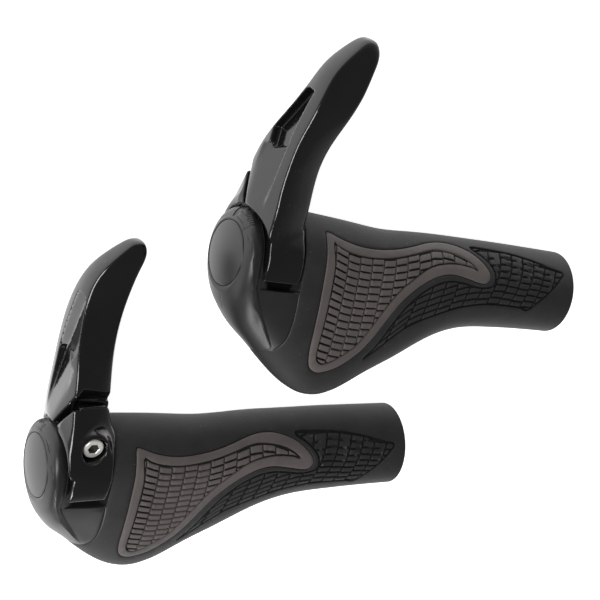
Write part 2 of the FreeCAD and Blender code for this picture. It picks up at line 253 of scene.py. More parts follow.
# the pocket in the arm's outboard face, in height h along the arm and t across it
POCKET_LEDGE = (0.0, 44.5, -0.4)        # h over t, at the lower end
POCKET_TOP = 70.3
POCKET_TOP_LEAN = (-4.0, 0.35)          # the upper end leans past this t
POCKET_BOLT_WALLS = ((42.6, 2.4, 0.45), (54.0, 4.6, -0.42))    # t over h
POCKET_FLOOR = (43.0, 10.5, 0.26)       # u over h
POCKET_WALL = -8.4                      # the wall on the solid side
PAINTED_LIGHT_PLATE = (0.25, 0.3)                     # faces this near the pocket's skin and its wall are on that wall, which gets painted light
# the shallow scoop that leads down out of the pocket
SCOOP_FLOOR = (28.5, 7.0, 0.244)        # u over h
SCOOP_TILT = 0.133
SCOOP_SIDE = 7.5
SCOOP_TOP = (0.0, 46.5, -0.4)           # h over t
VOXEL = 0.5

# --- clamp bolt ---
BOLT = (17.0, 16.8)
BOLT_ROUND = 48
HEAD_SEAT = 8.6
HEAD_R = 4.25
HEAD_LENGTH = 5.0
HEX_R = 4.0 / math.sqrt(3)
HEX_DEPTH = 2.6
HEX_CONE = 0.6
SHANK_R = 2.5
BOLT_LENGTH = 20.0
HEAD_ROOM_R = 5.1
SHANK_ROOM = 0.3
SHANK_ROOM_END = -12.5
PAD_R = 6.7             # the raised pad round the head
PAD_TOP = 14.0
PAD_FOOT = 4.5

# --- plug ---
PLUG_R = 12.85
PLUG_WALL = 1.3
PLUG_SKIRT_END = 5.8
PLUG_FLOOR = 2.9
DOME_R = 60.0
DOME_RISE = 0.6

# --- meshes ---
ROUND = 128             # steps round a turned part
ARC = 17.0              # millimetres per radian round the grip, for even triangles
GRID = (1.7, 0.09)      # between the inner points of a surface, in u and in radians
GRID_MARGIN = 0.6


def spline(points):
    """The natural cubic curve through (x, y) points, as a function of x."""
    xs, ys = np.array(points, float).T
    gap = np.diff(xs)
    n = len(xs)
    matrix = np.eye(n)
    right = np.zeros(n)
    for i in range(1, n - 1):
        matrix[i, i - 1:i + 2] = gap[i - 1], 2 * (gap[i - 1] + gap[i]), gap[i]
        right[i] = 6 * ((ys[i + 1] - ys[i]) / gap[i] - (ys[i] - ys[i - 1]) / gap[i - 1])
    bend = np.linalg.solve(matrix, right)

    def at(x):
        x = np.clip(np.asarray(x, float), xs[0], xs[-1])
        i = np.clip(np.searchsorted(xs, x) - 1, 0, n - 2)
        a = (xs[i + 1] - x) / gap[i]
        b = (x - xs[i]) / gap[i]
        cubic = (a ** 3 - a) * bend[i] + (b ** 3 - b) * bend[i + 1]
        return a * ys[i] + b * ys[i + 1] + cubic * gap[i] ** 2 / 6

    return at


class Skin:
    """A surface round the bar: half circles on top and half ellipses down to the wing's edge."""

    def __init__(self, stations):
        table = np.array(stations, float)
        self.top, self.half, self.depth = (spline(table[:, (0, k)]) for k in (1, 2, 3))

    def reach(self, u, v):
        return np.where(v > 0, self.top(u), self.depth(u))

    def angle(self, u, v):
        return np.arccos(np.clip(v / self.reach(u, v), -1, 1))

    def height(self, u, angle):
        c = np.cos(angle)
        return c * self.reach(u, c)

    def width(self, uv):
        """How far the surface stands out from the middle plane at (u, v)."""
        return self.half(uv[:, 0]) * np.sin(self.angle(uv[:, 0], uv[:, 1]))

    def point(self, u, angle):
        return np.stack([u, self.height(u, angle), self.half(u) * np.sin(angle)], -1)

    def normal(self, u, angle):
        e = 1e-3
        along = self.point(u + e, angle) - self.point(u - e, angle)
        around = self.point(u, angle + e) - self.point(u, angle - e)
        n = np.cross(around, along)
        return n / np.linalg.norm(n, axis=-1, keepdims=True)


def smooth_outline(points, step=0.7, closed=True):
    """A Catmull-Rom curve through the points, resampled evenly."""
    p = np.array(points, float)
    n = len(p)
    rows = []
    for i in range(n if closed else n - 1):
        if closed:
            a, b, c, d = (p[(i + k) % n] for k in (-1, 0, 1, 2))
        else:
            a, b, c, d = p[max(i - 1, 0)], p[i], p[i + 1], p[min(i + 2, n - 1)]
        count = max(2, int(math.ceil(np.linalg.norm(c - b) / step)))
        for t in np.arange(count) / count:
            rows.append(0.5 * (2 * b + (c - a) * t + (2 * a - 5 * b + 4 * c - d) * t * t
                               + (3 * b - a - 3 * c + d) * t ** 3))
    if not closed:
        rows.append(p[-1])
    return np.array(rows)


def offset(line, distance, closed=True):
    """The line moved sideways, positive to its left."""
    if closed:
        along = np.roll(line, -1, 0) - np.roll(line, 1, 0)
    else:
        along = np.gradient(line, axis=0)
    along /= np.linalg.norm(along, axis=1, keepdims=True)
    return line + distance * np.stack([-along[:, 1], along[:, 0]], 1)


def distance_to(line, points, closed=True):
    """Each point's distance to the line, and whether it's inside it."""
    a = line
    b = np.roll(line, -1, 0) if closed else line[1:]
    a = a if closed else line[:-1]
    best = np.full(len(points), 1e9)
    inside = np.zeros(len(points), bool)
    for p, q in zip(a, b):
        d = q - p
        t = np.clip(((points - p) @ d) / (d @ d), 0, 1)
        gap = np.linalg.norm(points - p - t[:, None] * d, axis=1)
        best = np.minimum(best, gap)
        if closed:
            crosses = (p[1] > points[:, 1]) != (q[1] > points[:, 1])
            x = p[0] + (points[:, 1] - p[1]) * d[0] / (d[1] if d[1] else 1e-12)
            inside ^= crosses & (points[:, 0] < x)
    return best, inside


class Pads:
    """A field of small raised pads in slanted columns and rows, cut off at an outline."""

    def __init__(self, outline, pitch, uneven):
        self.outline = smooth_outline(outline)
        self.pitch = pitch
        self.uneven = uneven

    def stagger(self, k):
        """How far column k's rows are shifted, in rows."""
        return self.uneven * ((k * 2) % 3 - 1)

    def gap(self, points):
        """Distance to the nearest groove's edge: positive on top of a pad or outside the field."""
        edge, inside = distance_to(self.outline, points)
        u, v = points.T
        column = self.column(u, v)
        row = self.row(u, v, np.floor(column))
        across = np.abs(column - np.round(column)) * self.pitch[0] * SLANT
        along = np.abs(row - np.round(row)) * self.pitch[1] * SLANT
        within = np.minimum(across, along)
        return np.minimum(edge, np.where(inside, within, 1e3)) - GROOVE

    def lines(self):
        """Guide lines for the mesh along every groove's foot, edge and pad rounding."""
        u0, v0 = self.outline.min(0)
        u1, v1 = self.outline.max(0)
        found = []
        tall = np.arange(v0 - 1, v1 + 1, 0.8)
        for k in range(int(self.column(u0, v1)) - 1, int(self.column(u1, v0)) + 3):
            for d in GROOVE_GUIDES:
                for side in (-1, 1):
                    found.append(np.stack([self.column_at(k, tall) + side * d, tall], 1))
            found += self.row_lines(k, 0.5 * (v0 + v1))
        edges = [offset(self.outline, side * d) for side in (-1, 1) for d in GROOVE_GUIDES]
        return edges + self.clipped(found)

    def row_lines(self, k, middle):
        """The guide lines along the rows' grooves inside column k."""
        left = self.column_at(k, np.array([middle]))[0]
        wide = np.linspace(left - 3, left + self.pitch[0] + 3, 18)
        found = []
        for j in ROWS:
            for d in GROOVE_GUIDES:
                for side in (-1, 1):
                    v = self.row_at(wide, j, k) + side * d
                    column = self.column(wide, v)
                    keep = (column > k + 0.03) & (column < k + 0.97)
                    if keep.sum() > 1:
                        found.append(np.stack([wide, v], 1)[keep])
        return found

    def clipped(self, lines):
        """The stretches of the guide lines inside the outline, with one point more at each end."""
        _, inside = distance_to(self.outline, np.concatenate(lines))
        parts = []
        start = 0
        for line in lines:
            own = inside[start:start + len(line)]
            start += len(line)
            kept = own.copy()
            kept[1:] |= own[:-1]
            kept[:-1] |= own[1:]
            places = np.flatnonzero(kept)
            if len(places) > 1:
                breaks = np.flatnonzero(np.diff(places) > 1) + 1
                parts += [line[stretch] for stretch in np.split(places, breaks) if len(stretch) > 1]
        return parts


class GreyPads(Pads):
    """Upright columns, with rows that follow the upper edge."""

    def __init__(self):
        super().__init__(GREY_PADS, GREY_PITCH, GREY_UNEVEN)
        self.top = spline(GREY_TOP)

    def column(self, u, v):
        return (u - GREY_FIRST_U) / self.pitch[0]

    def column_at(self, k, v):
        return np.full_like(v, GREY_FIRST_U + self.pitch[0] * k)

    def spacing(self, u):
        return self.pitch[1] + (self.top(u) - GREY_LEVEL) / GREY_SPREAD

    def row(self, u, v, k):
        return (self.top(u) - v) / self.spacing(u) - self.stagger(k)

    def row_at(self, u, j, k):
        return self.top(u) - (j + self.stagger(k)) * self.spacing(u)


class BlackPads(Pads):
    """Leaning columns, with rows that follow the lower edge."""

    def __init__(self):
        super().__init__(BLACK_PADS, BLACK_PITCH, BLACK_UNEVEN)
        self.base = spline(BLACK_BASE)

    @staticmethod
    def lean(place):
        """How far a column moves in u for each millimetre in v."""
        return np.interp(place, *BLACK_LEAN)

    def column(self, u, v):
        place = u
        for _ in range(6):
            place = u - self.lean(place) * (v - BLACK_LEVEL)
        return (place - BLACK_FIRST_U) / self.pitch[0]

    def column_at(self, k, v):
        place = BLACK_FIRST_U + self.pitch[0] * k
        return place + self.lean(place) * (v - BLACK_LEVEL)

    def spacing(self, u):
        start, taper = BLACK_TAPER
        return self.pitch[1] - taper * np.maximum(u - start, 0)

    def row(self, u, v, k):
        return (v - self.base(u)) / self.spacing(u) - self.stagger(k)

    def row_at(self, u, j, k):
        return self.base(u) + (j + self.stagger(k)) * self.spacing(u)


def groove_profile(gap):
    """Height for a distance outside a groove's edge."""
    return np.interp(gap, (-GROOVE_WALL, 0.0, PAD_ROUND), (-GROOVE_DEPTH, -PAD_DROP, 0.0))


def patch(skin, outline, lines, height):
    """A half surface over an outline in (u, angle), with guide lines in (u, v).

    Returns its points, its faces, their corners' (u, v), and which faces are down in a groove, which get
    painted shade.
    """
    points = [tuple(p) for p in outline]
    edges = []
    faces = [list(range(len(points)))]
    for line in lines:
        angle = skin.angle(line[:, 0], line[:, 1])
        first = len(points)
        points += list(zip(line[:, 0], angle))
        edges += [(first + i, first + i + 1) for i in range(len(line) - 1)]
    low, high = outline.min(0), outline.max(0)
    us = np.arange(low[0] + GRID[0], high[0], GRID[0])
    angles = np.linspace(low[1], high[1], int((high[1] - low[1]) / GRID[1]) + 2)[1:-1]
    grid = np.array([(u, a) for u in us for a in angles])
    near, inside = distance_to(outline * (1, ARC), grid * (1, ARC))
    points += [tuple(p) for p in grid[inside & (near > GRID_MARGIN)]]
    flat = [Vector((u, a * ARC)) for u, a in points]
    verts, _, tris, _, _, _ = delaunay_2d_cdt(flat, edges, faces, 1, 1e-4, False)
    u, angle = np.array([(p.x, p.y / ARC) for p in verts]).T
    uv = np.stack([u, skin.height(u, angle)], 1)
    heights = height(uv)
    raised = skin.point(u, angle) + heights[:, None] * skin.normal(u, angle)
    for middle in (0, math.pi):
        raised[np.abs(angle - middle) < 1e-5, 2] = 0
    tris = np.array([t for t in tris if len(t) == 3])
    # faces wholly down in a groove; they get the darker rubber that paints shade into the grooves
    return raised, tris, uv, heights[tris].max(1) < -0.9 * PAD_DROP


def add_half(bm, points, tris, painted_shade_faces=None, side=1):
    """Adds a half surface, mirrored for side -1. Faces down in a groove get the second material, a darker
    rubber that paints shade into the grooves.
    """
    verts = [bm.verts.new((p[0], p[1], p[2] * side)) for p in points]
    for i, t in enumerate(tris):
        face = bm.faces.new([verts[k] for k in (t if side > 0 else t[::-1])])
        face.material_index = 0 if painted_shade_faces is None else int(painted_shade_faces[i])


def both_halves(bolt_side, plain_side, tris, painted_shade_faces=None):
    """Both halves, joined along the middle."""
    bm = bmesh.new()
    add_half(bm, bolt_side, tris, painted_shade_faces)
    add_half(bm, plain_side, tris, painted_shade_faces, -1)
    bmesh.ops.remove_doubles(bm, verts=[v for v in bm.verts if abs(v.co.z) < 1e-4], dist=1e-3)
    return bm


def drop_loose(bm):
    """Deletes the points that no face uses."""
    loose = [v for v in bm.verts if not v.link_faces]
    bmesh.ops.delete(bm, geom=loose, context="VERTS")


def outward(bm):
    """Makes the faces' fronts point away from the bar axis, judged by the sum over all faces."""
    bm.normal_update()
    total = 0.0
    for f in bm.faces:
        c = f.calc_center_median()
        total += f.calc_area() * (f.normal.y * c.y + f.normal.z * c.z)
    if total < 0:
        bmesh.ops.reverse_faces(bm, faces=bm.faces)
    bm.normal_update()


def skirt(bm, foot):
    """Walls down from every open edge. foot gives the bottom of the wall below a point."""
    bm.normal_update()
    rim = [e for e in bm.edges if len(e.link_faces) == 1]
    made = bmesh.ops.extrude_edge_only(bm, edges=rim)["geom"]
    feet = [g for g in made if isinstance(g, bmesh.types.BMVert)]
    bm.normal_update()
    for v in feet:
        v.co = foot(v.co)


def finish_mesh(bm, name, sharp=38.0):
    """The bmesh as a smooth-shaded mesh, with edges above the sharp angle, in degrees, kept crisp."""
    bm.normal_update()
    for f in bm.faces:
        f.smooth = True
    for e in bm.edges:
        if len(e.link_faces) == 2:
            e.smooth = e.calc_face_angle(0.0) < math.radians(sharp)
    mesh = bpy.data.meshes.new(name)
    bm.to_mesh(mesh)
    bm.free()
    return mesh


def inward(p, depth):
    """A point moved towards the middle plane of the wing and the bar axis."""
    middle = Vector((p.x, min(p.y, 0.0) * WING_MIDDLE, 0.0))
    way = middle - p
    return p + way.normalized() * min(depth, way.length * DEEPEST)


def at_radius(p, radius, u):
    """The point moved to a radius about the bar axis, at u."""
    scale = radius / math.hypot(p.y, p.z)
    return Vector((u, p.y * scale, p.z * scale))


def line_to_wing_edge(skin, start, end_u):
    """From a seam's tip to the wing's front edge, in (u, angle)."""
    u = np.linspace(start[0], end_u, 7)
    v = np.linspace(start[1], -float(skin.depth(end_u)), 7)
    angle = skin.angle(u, v)
    angle[-1] = math.pi
    return np.stack([u, angle], 1)


def joined(*parts):
    """One outline from parts that meet end to end."""
    rows = []
    for part in parts:
        for p in part:
            if not rows or np.linalg.norm((rows[-1] - p) * (1, ARC)) > 1e-3:
                rows.append(np.array(p, float))
    if np.linalg.norm((rows[-1] - rows[0]) * (1, ARC)) < 1e-3:
        rows.pop()
    return np.array(rows)


def path(*corners, step=1.5):
    """Evenly spaced points along the straight runs between the corners, in (u, angle)."""
    corners = np.array(corners, float)
    runs = []
    for a, b in zip(corners, corners[1:]):
        count = max(1, int(np.linalg.norm((b - a) * (1, ARC)) / step))
        runs.append(a + (b - a) * np.linspace(0, 1, count + 1)[:, None])
    return np.concatenate(runs)


def seam_points(skin):
    """The seam at the end of the rubber, in (u, v) and in (u, angle)."""
    line = smooth_outline(SEAM, 1.0, closed=False)
    return line, np.stack([line[:, 0], skin.angle(line[:, 0], line[:, 1])], 1)


def window_edge(u, top, count):
    """Points at u from the top of the clamp window down to its sill, in (u, v)."""
    return np.stack([np.full(count, u), np.linspace(top, WINDOW_SILL, count)], 1)


def with_heights(skin, line):
    """A line in (u, angle) turned into (u, v)."""
    return np.stack([line[:, 0], skin.height(line[:, 0], line[:, 1])], 1)


def ring_of(line):
    """The closed line, back at its first point."""
    return np.concatenate([line, line[:1]])


def edge_round(distance, radius):
    """Height at a distance from a rounded edge: minus the radius at the edge, 0 past the rounding."""
    x = np.clip(1 - distance / radius, 0, 1)
    return radius * (np.sqrt(1 - x * x) - 1)


def rubber_parts(body, grey_pads, black_pads):
    """The sleeve's and the inlay's half surfaces."""
    inlay_line = smooth_outline(INLAY)
    seam_uv, seam_ua = seam_points(body)
    sill = float(body.angle(WINDOW_BACK, WINDOW_SILL))
    tail = line_to_wing_edge(body, SEAM[-1], TAIL_U)
    outline = joined(path((WINDOW_BACK, 0), (WINDOW_BACK, sill)), seam_ua, tail,
                     path((TAIL_U, math.pi), (SLEEVE_END, math.pi), (SLEEVE_END, 0), (WINDOW_BACK, 0)))
    window = window_edge(WINDOW_BACK, BODY_TOP, 9)
    rim = np.concatenate([window[:-1], seam_uv, with_heights(body, tail)[1:]])

    def height(uv):
        seam, inside = distance_to(inlay_line, uv)
        thin = np.interp(seam, (0.05, SEAM_GROOVE, SEAM_GROOVE + SEAM_ROUND), (-SEAM_DEPTH, -SEAM_LIP, 0.0))
        lift = np.where(inside, INLAY_LIFT, 0.0) * np.clip(seam / INLAY_RISE, 0, 1)
        pads = np.minimum(groove_profile(grey_pads.gap(uv)), groove_profile(black_pads.gap(uv)))
        border, _ = distance_to(rim, uv, closed=False)
        return np.minimum(thin, pads) + lift + edge_round(border, RUBBER_RIM[-1])

    lines = grey_pads.lines() + black_pads.lines() + [ring_of(inlay_line)]
    for d in (SEAM_GROOVE, SEAM_GROOVE + SEAM_ROUND):
        lines += [ring_of(offset(inlay_line, side * d)) for side in (-1, 1)]
    lines += [offset(rim, d, closed=False) for d in RUBBER_RIM]
    points, tris, uv, painted_shade_faces = patch(body, outline, lines, height)
    _, inside = distance_to(inlay_line, uv[tris].mean(1))
    return (points, tris[~inside], painted_shade_faces[~inside]), (points, tris[inside], painted_shade_faces[inside])


def sleeve_mesh(points, tris, painted_shade_faces):
    """The black rubber round the bar and the wing."""
    bm = both_halves(points, points, tris, painted_shade_faces)
    drop_loose(bm)
    outward(bm)

    def foot(p):
        if p.x < WINDOW_BACK + 1.5 and p.y > WINDOW_SILL - 0.5:
            return at_radius(p, CORE_R + CORE_GAP, p.x)
        if p.x > SLEEVE_END - 0.5:
            return Vector((p.x, p.y * 0.99, p.z * 0.99))
        return inward(p, SLEEVE_WALL)

    skirt(bm, foot)
    return finish_mesh(bm, "sleeve")


def sleeve_end_mesh(body):
    """The rounded inner end of the rubber, seen round the core."""
    outer = float(body.top(SLEEVE_END))
    arc = [(SLEEVE_END + END_ROUND * math.sin(a), outer - END_ROUND + END_ROUND * math.cos(a))
           for a in np.linspace(0, math.pi / 2, 6)]
    inner = [(SLEEVE_END + END_ROUND, CORE_R + 0.6), (SLEEVE_END + END_ROUND - 0.2, CORE_R + 0.2),
             (SLEEVE_END - 0.6, CORE_R + 0.02)]
    return finish_mesh(lathe(arc + inner), "sleeve_end")


def lathe(profile):
    """A surface of revolution about u from (u, radius) points, as a bmesh."""
    bm = bmesh.new()
    rings = []
    for u, r in profile:
        if r < 1e-6:
            rings.append([bm.verts.new((u, 0, 0))])
        else:
            rings.append([bm.verts.new((u, r * math.cos(2 * math.pi * i / ROUND),
                                        r * math.sin(2 * math.pi * i / ROUND))) for i in range(ROUND)])
    for a, b in zip(rings, rings[1:]):
        for i in range(ROUND):
            j = (i + 1) % ROUND
            if len(a) == 1:
                bm.faces.new((a[0], b[i], b[j]))
            elif len(b) == 1:
                bm.faces.new((a[i], b[0], a[j]))
            else:
                bm.faces.new((a[i], b[i], b[j], a[j]))
    bmesh.ops.recalc_face_normals(bm, faces=bm.faces)
    return bm


def inlay_mesh(points, tris, painted_shade_faces):
    """The grey rubber inlay on the bolt side."""
    bm = bmesh.new()
    add_half(bm, points, tris, painted_shade_faces)
    drop_loose(bm)
    outward(bm)
    skirt(bm, lambda p: Vector((p.x, p.y * 0.97, p.z - INLAY_WALL)))
    return finish_mesh(bm, "inlay")


def panel_mesh(body):
    """The smooth panel between the clamp window, the seam and the tail."""
    seam_uv, seam_ua = seam_points(body)
    left = FLANGE_BACK - 0.3
    tail = line_to_wing_edge(body, SEAM[-1], TAIL_U)
    us = np.linspace(left, WINDOW_BACK, 14)
    sill = np.stack([us, body.angle(us, np.full(14, WINDOW_SILL))], 1)
    outline = joined(sill, seam_ua, tail, path((TAIL_U, math.pi), (left, math.pi), sill[0]))
    edge = np.concatenate([[(left - 2, WINDOW_SILL), (WINDOW_BACK - 0.2, WINDOW_SILL)], seam_uv[1:]])

    def height(uv):
        border, _ = distance_to(edge, uv, closed=False)
        return edge_round(border, PANEL_RIM[-1])

    lines = [offset(edge, side * d, closed=False) for d in PANEL_RIM for side in (-1, 1)]
    points, tris, _, _ = patch(body, outline, lines, height)
    bm = both_halves(points, points, tris)
    outward(bm)
    skirt(bm, lambda p: inward(p, PANEL_LAP if p.y > WINDOW_SILL - 1 else PANEL_WALL))
    return finish_mesh(bm, "panel")


def scale_tick(front, i):
    """The line of one mark of the angle scale, on the flange's rim. The first and last marks are long."""
    angle = math.radians(SCALE_START + SCALE_STEP * i)
    start, end = SCALE_LONG if i in (0, SCALE_TICKS - 1) else SCALE_SHORT
    us = np.linspace(start, end, 6)
    return np.stack([us, front.height(us, np.full(6, angle))], 1)


def flange_outline(front, crease):
    """The flange's outline in (u, angle), and the part of it with a rounded rim in (u, v)."""
    sill = float(front.angle(FLANGE_BACK, WINDOW_SILL))
    crease_ua = np.stack([crease[:, 0], front.angle(crease[:, 0], crease[:, 1])], 1)
    tail = line_to_wing_edge(front, SEAM[-1], TAIL_U)
    outline = joined(path((FLANGE_FRONT, 0), (FLANGE_BACK, 0), (FLANGE_BACK, sill)), crease_ua, tail,
                     path((TAIL_U, math.pi), (FLANGE_FRONT, math.pi), (FLANGE_FRONT, 0)))
    window = window_edge(FLANGE_BACK, FLANGE_TOP, 12)
    rim = np.concatenate([window[:-1], crease, with_heights(front, tail)[1:]])
    return outline, rim


def flange_mesh(front, body):
    """The domed flange with its engraved angle scale, and the tail that runs down the wing."""
    tip = SEAM[-1]
    crease = np.linspace((FLANGE_BACK, WINDOW_SILL), tip, 18)
    outline, rim = flange_outline(front, crease)
    edge = np.array(FACET_EDGE)
    ticks = [scale_tick(front, i) for i in range(SCALE_TICKS)]

    def smooth(uv):
        border, _ = distance_to(rim, uv, closed=False)
        edge_u = np.interp(-uv[:, 1], -edge[:, 1], edge[:, 0])
        back_u = np.interp(-uv[:, 1], (-WINDOW_SILL, -tip[1]), (FLANGE_BACK, tip[0]))
        share = np.clip((uv[:, 0] - edge_u) / np.maximum(back_u - edge_u, 0.5), 0, 1)
        proud = front.width(uv) - body.width(uv)
        return edge_round(border, FLANGE_RIM[-1]) - share * np.clip(proud, 0, FACET_MOST)

    def engraved(uv):
        cut = np.min([distance_to(tick, uv, closed=False)[0] for tick in ticks], axis=0)
        return smooth(uv) - SCALE_DEPTH * np.clip(1.5 - cut / SCALE_HALF, 0, 1)

    def foot(p):
        if p.x < FLANGE_FRONT + 0.1:
            return at_radius(p, PLUG_R + PLUG_GAP, FLANGE_FRONT + 0.25)
        if p.x < FLANGE_BACK + 0.3 and p.y > WINDOW_SILL - 0.3:
            return at_radius(p, CORE_R + CORE_GAP, p.x)
        return inward(p, FLANGE_WALL)

    lines = [offset(rim, side * d, closed=False) for d in FLANGE_RIM for side in (-1, 1)]
    lines += [offset(edge, side * FACET_CREASE, closed=False) for side in (-1, 1)]
    lines += [offset(tick, side * SCALE_HALF * k, closed=False) for tick in ticks
              for side in (-1, 1) for k in (0.5, 1.5)]
    angles = np.linspace(0.01, math.pi - 0.01, 60)
    for u in FLANGE_GUIDES:
        lines.append(with_heights(front, np.stack([np.full(60, u), angles], 1)))
    bolt_side, tris, _, _ = patch(front, outline, lines, smooth)
    plain_side = patch(front, outline, lines, engraved)[0]
    bm = both_halves(bolt_side, plain_side, tris)
    outward(bm)
    skirt(bm, foot)
    return finish_mesh(bm, "flange")


def plug_mesh():
    """The domed end cap and its skirt."""
    def dome(r):
        return -DOME_RISE + DOME_R - math.sqrt(DOME_R ** 2 - r * r)

    top = [(dome(r), r) for r in np.linspace(0, PLUG_R - 0.5, 14)]
    edge = [(dome(PLUG_R - 0.3) + 0.04, PLUG_R - 0.3), (dome(PLUG_R) + 0.12, PLUG_R - 0.12),
            (dome(PLUG_R) + 0.4, PLUG_R)]
    legs = [(PLUG_SKIRT_END, PLUG_R), (PLUG_SKIRT_END, PLUG_R - PLUG_WALL),
            (PLUG_FLOOR, PLUG_R - PLUG_WALL), (PLUG_FLOOR, 0.0)]
    return finish_mesh(lathe(top + edge + legs), "plug")


def smax(parts, k):
    """A smooth maximum. k, in millimetres, is how widely the edge between two parts is rounded."""
    top = parts[0]
    for p in parts[1:]:
        top = np.maximum(top, p)
    total = sum(np.exp((p - top) / k) for p in parts)
    return top + k * np.log(total)


def smin(parts, k):
    return -smax([-p for p in parts], k)


def sloped(x, line):
    """The value at x of a straight line, given as a place, the value there, and the slope."""
    place, value, slope = line
    return value + slope * (x - place)


def leaned(v, w):
    """The height along the leaning arm, and the place across it towards the bolt side."""
    lean = math.radians(HORN_LEAN)
    return v * math.cos(lean) - w * math.sin(lean), v * math.sin(lean) + w * math.cos(lean)


def from_bolt(u, v):
    return np.sqrt((u - BOLT[0]) ** 2 + (v - BOLT[1]) ** 2)


def arm_field(u, h, t):
    """The tapered arm with a ridge down each broad face, negative inside."""
    table = np.array(ARM)
    outboard, inboard, outer, inner, shift, bulge = (spline(table[:, (0, k)])(h) for k in range(1, 7))
    place, rise = RIDGE
    ridge = outboard + place * (inboard - outboard)
    ridge_half = outer + place * (inner - outer) + rise
    corners = [
        (outboard - bulge, -shift),
        (outboard, outer - shift),
        (ridge, ridge_half - shift),
        (inboard, inner - shift),
        (inboard, -inner - shift),
        (ridge, -ridge_half - shift),
        (outboard, -outer - shift),
    ]
    faces = []
    for (a, b), (c, d) in zip(corners, corners[1:] + corners[:1]):
        du, dt = c - a, d - b
        length = np.sqrt(du * du + dt * dt)
        faces.append(((t - b) * du - (u - a) * dt) / length)
    arm = smax(faces, ARM_ROUND) - ARM_SWELL
    return smax([arm, h - ARM[-1][0], ARM[0][0] - h], TIP_ROUND)


def past_jaw_ends(v, w, radius):
    """Positive where the clamp ring has ended and only its thin band goes on round the bar."""
    turn = np.degrees(np.arctan2(w, v))
    bolt_jaw = np.radians(turn - JAW_END_BOLT_SIDE) * radius
    solid_jaw = np.radians(-turn - JAW_END_SOLID_SIDE) * radius
    return np.where(v < JAW_END_V, np.maximum(bolt_jaw, solid_jaw), -50.0)


def horn_field(u, v, w):
    """Negative inside the horn's metal: the arm, the clamp ring and the pad round the bolt, less the cuts."""
    h, t = leaned(v, w)
    radius = np.sqrt(v * v + w * w)
    ring = smax([radius - CLAMP_R, CLAMP[0] - u, u - CLAMP[1]], 0.4)
    fillet = np.interp(w, *ROOT_FILLET)
    body = smin([arm_field(u, h, t), ring], fillet)
    pad = smax([from_bolt(u, v) - PAD_R, w - PAD_TOP, PAD_FOOT - w], 0.8)
    body = smin([body, pad], 1.4)
    body = smax([body, np.minimum(past_jaw_ends(v, w, radius), radius - BAND_R)], 0.25)
    body = smax([body, CLAMP_BORE_R - radius], 0.2)
    body = smax([body, -smax([radius - FLANGE_GAP_R, u - CLAMP[0]], 0.3)], 0.3)
    return horn_cuts(body, u, v, w, h, t)


def horn_pocket(u, h, t):
    """The deep pocket in the arm's outboard face."""
    ledge = (sloped(t, POCKET_LEDGE) - h) * 0.93
    lean_from, lean = POCKET_TOP_LEAN
    top = (h + lean * np.maximum(0, t - lean_from) - POCKET_TOP) * 0.95
    bolt_wall = t - np.minimum(*(sloped(h, wall) for wall in POCKET_BOLT_WALLS))
    floor = (u - sloped(h, POCKET_FLOOR)) * 0.97
    return smax([ledge, top, POCKET_WALL - t, bolt_wall, floor], 0.3)


def horn_scoop(u, h, t):
    """The shallow scoop that leads down out of the pocket."""
    floor = (u - sloped(h, SCOOP_FLOOR) + SCOOP_TILT * (t - POCKET_WALL)) * 0.96
    return smax([floor, POCKET_WALL - t, t - SCOOP_SIDE, h - sloped(t, SCOOP_TOP)], 0.5)


def jaw_gaps(u, v, w):
    """The open gap over the jaw, the slit's wide front end, and the slit itself."""
    front_back = sloped(v, GAP_FRONT_BACK)
    side_back = sloped(v, GAP_SIDE_BACK) + sloped(u, GAP_SIDE_SLOPE)
    bend_start, bend_end = GAP_BEND
    share = np.clip((u - bend_start) / (bend_end - bend_start), 0, 1)
    back = front_back + (side_back - front_back) * share
    jaw_top = sloped(u, JAW_TOP)
    ceiling = np.minimum(*(sloped(u, face) for face in GAP_CEILINGS))
    above = smax([back - w, jaw_top - v, v - ceiling], 0.3)
    front = smax([front_back - w, w - sloped(v, FRONT_TOP), u - FRONT_END[0], v - FRONT_END[1]], 0.25)
    middle, half = 0.5 * (SLIT[0] + SLIT[1]), 0.5 * (SLIT[1] - SLIT[0])
    upright = np.maximum(np.abs(w - middle) - half, np.maximum(v - jaw_top - 1, SLIT_FOOT - v))
    return above, front, np.maximum(upright, SLIT_FRONT - u)


def horn_cuts(body, u, v, w, h, t):
    """The horn less its gaps, the bolt's holes, the scoop and the pocket."""
    for cut in jaw_gaps(u, v, w):
        body = smax([body, -cut], 0.3)
    reach = from_bolt(u, v)
    body = smax([body, -smax([reach - HEAD_ROOM_R, HEAD_SEAT - w], 0.2)], 0.25)
    body = smax([body, -np.maximum(reach - SHANK_R - SHANK_ROOM, SHANK_ROOM_END - w)], 0.1)
    body = smax([body, -horn_scoop(u, h, t)], 0.35)
    return smax([body, -horn_pocket(u, h, t)], 0.25)


CUBE_EDGES = [(a, b) for a in range(8) for b in range(8) if bin(a ^ b).count("1") == 1 and a < b]


def surface_net(field, low, high, step):
    """A mesh of the field's zero surface: one point in each crossed cell, moved on to the surface."""
    axes = [np.arange(a, b + step, step) for a, b in zip(low, high)]
    value = field(*np.meshgrid(*axes, indexing="ij"))
    total, count = crossings(value)
    cells = np.argwhere(count > 0)
    place = tuple(cells.T)
    index = np.full(count.shape, -1)
    index[place] = np.arange(len(cells))
    points = (cells + total[place] / count[place][:, None]) * step + np.array(low)
    for _ in range(3):
        points = points - pull(field, points, step * 0.5)
    return points, np.concatenate([quads_along(k, value < 0, index) for k in range(3)])


